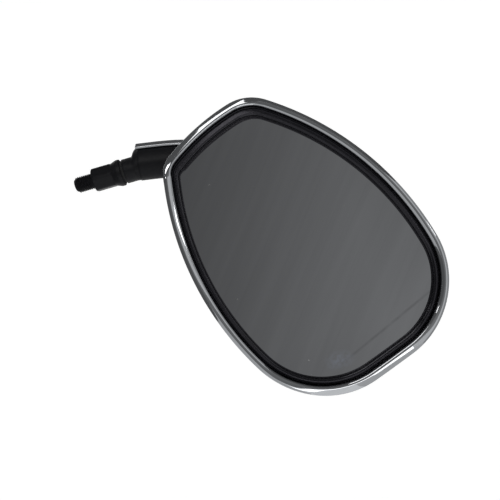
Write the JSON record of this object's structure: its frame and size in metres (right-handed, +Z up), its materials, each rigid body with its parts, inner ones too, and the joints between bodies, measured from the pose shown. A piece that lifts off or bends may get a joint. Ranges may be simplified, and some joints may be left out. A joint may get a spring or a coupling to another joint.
{
  "type": "motorcycle mirror",
  "caption": "Right-hand motorcycle mirror: teardrop chrome shell with convex glass on a ball joint, short black arm and a threaded swivel stem.",
  "frame": {"origin": "on the stem's axis where the threaded end meets the hexagon", "axes": "+Z up along the stem, the thread points to -Z; -Y faces the rider, the glass looks that way; +X is outboard, where the head reaches"},
  "size_m": [0.1722, 0.0685, 0.1949],
  "materials": {
    "black_steel": "satin black paint over steel",
    "black_casting": "satin black paint over a zinc casting",
    "grey_casting": "as cast",
    "chrome_plate": "bright plating",
    "black_plastic": "semi-gloss moulding",
    "black_nylon": "dull moulding",
    "white_nylon": "dull natural moulding",
    "bronze": "sintered bronze",
    "spring_steel": "dark spring steel",
    "zinc_steel": "zinc plated",
    "grey_foam": "closed-cell foam",
    "mirror_glass": "convex silvered glass, clean"
  },
  "bodies": {
    "stem": {"mount_stud": "black_steel", "friction_washer": "black_nylon", "disc_springs": "spring_steel", "pivot_washer": "zinc_steel", "pivot_nut": "zinc_steel"},
    "arm": {"pivot_bush": "bronze", "arm_body": "black_casting", "arm_rear_cover": "chrome_plate", "cover_screws": "black_steel", "ball_stud": "zinc_steel", "stud_washer": "zinc_steel", "stud_nut": "zinc_steel", "dust_cap": "black_nylon"},
    "liner_back": {"liner_rear": "white_nylon"},
    "liner_face": {"liner_front": "white_nylon"},
    "head": {"socket_base": "grey_casting", "base_screws": "zinc_steel", "clamp_plate": "zinc_steel", "clamp_springs": "spring_steel", "clamp_screws": "zinc_steel", "head_shell": "chrome_plate", "glass_holder": "black_plastic", "holder_screws": "zinc_steel", "foam_pad": "grey_foam", "mirror_glass": "mirror_glass", "bezel_ring": "black_plastic"}
  },
  "joints": [
    {"name": "arm_swivel", "type": "hinge", "parent": "stem", "child": "arm", "pos_m": [0, 0, 0.025], "axis": [0, 0, 1], "range_deg": [-60, 60]},
    {"name": "head_roll", "type": "hinge", "parent": "arm", "child": "liner_back", "pos_m": [0.0257, -0.036, 0.0943], "axis": [0, -1, 0], "range_deg": [-10, 10]},
    {"name": "head_pan", "type": "hinge", "parent": "liner_back", "child": "liner_face", "pos_m": [0.0257, -0.036, 0.0943], "axis": [-0.3371, 0, 0.9415], "range_deg": [-10, 10]},
    {"name": "head_tilt", "type": "hinge", "parent": "liner_face", "child": "head", "pos_m": [0.0257, -0.036, 0.0943], "axis": [0.9415, 0, 0.3371], "range_deg": [-10, 10]}
  ]
}
